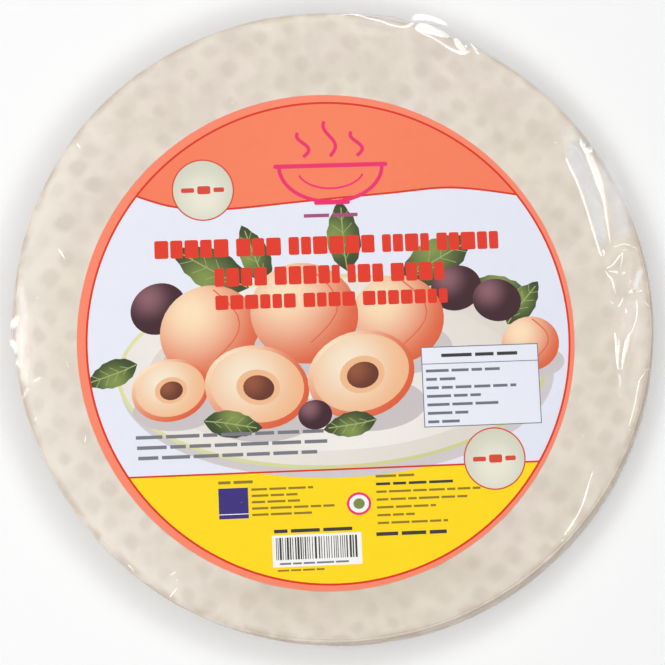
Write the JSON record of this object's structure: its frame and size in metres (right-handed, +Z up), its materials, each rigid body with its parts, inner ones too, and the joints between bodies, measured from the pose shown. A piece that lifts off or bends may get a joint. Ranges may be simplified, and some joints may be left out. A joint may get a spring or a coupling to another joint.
{
  "type": "rice paper wrapper stack",
  "caption": "Round flat stack of dried rice paper wrappers sealed in clear film, with a round printed card under the film on top.",
  "frame": {"origin": "on the resting face, under the middle of the pack's box", "axes": "+Z up through the sheets, out of the printed side; +Y towards the top of the card's print; +X towards its right"},
  "size_m": [0.2886, 0.2834, 0.018],
  "materials": {
    "rice_sheets_in_film": "warm cream rice sheets with a soft mat pattern, seen through clear glossy film",
    "coral_print": "printed paper card, coral, cream, pale lilac and yellow fields"
  },
  "bodies": {
    "root": {"sealed_pack": "rice_sheets_in_film", "printed_card": "coral_print"}
  },
  "joints": []
}
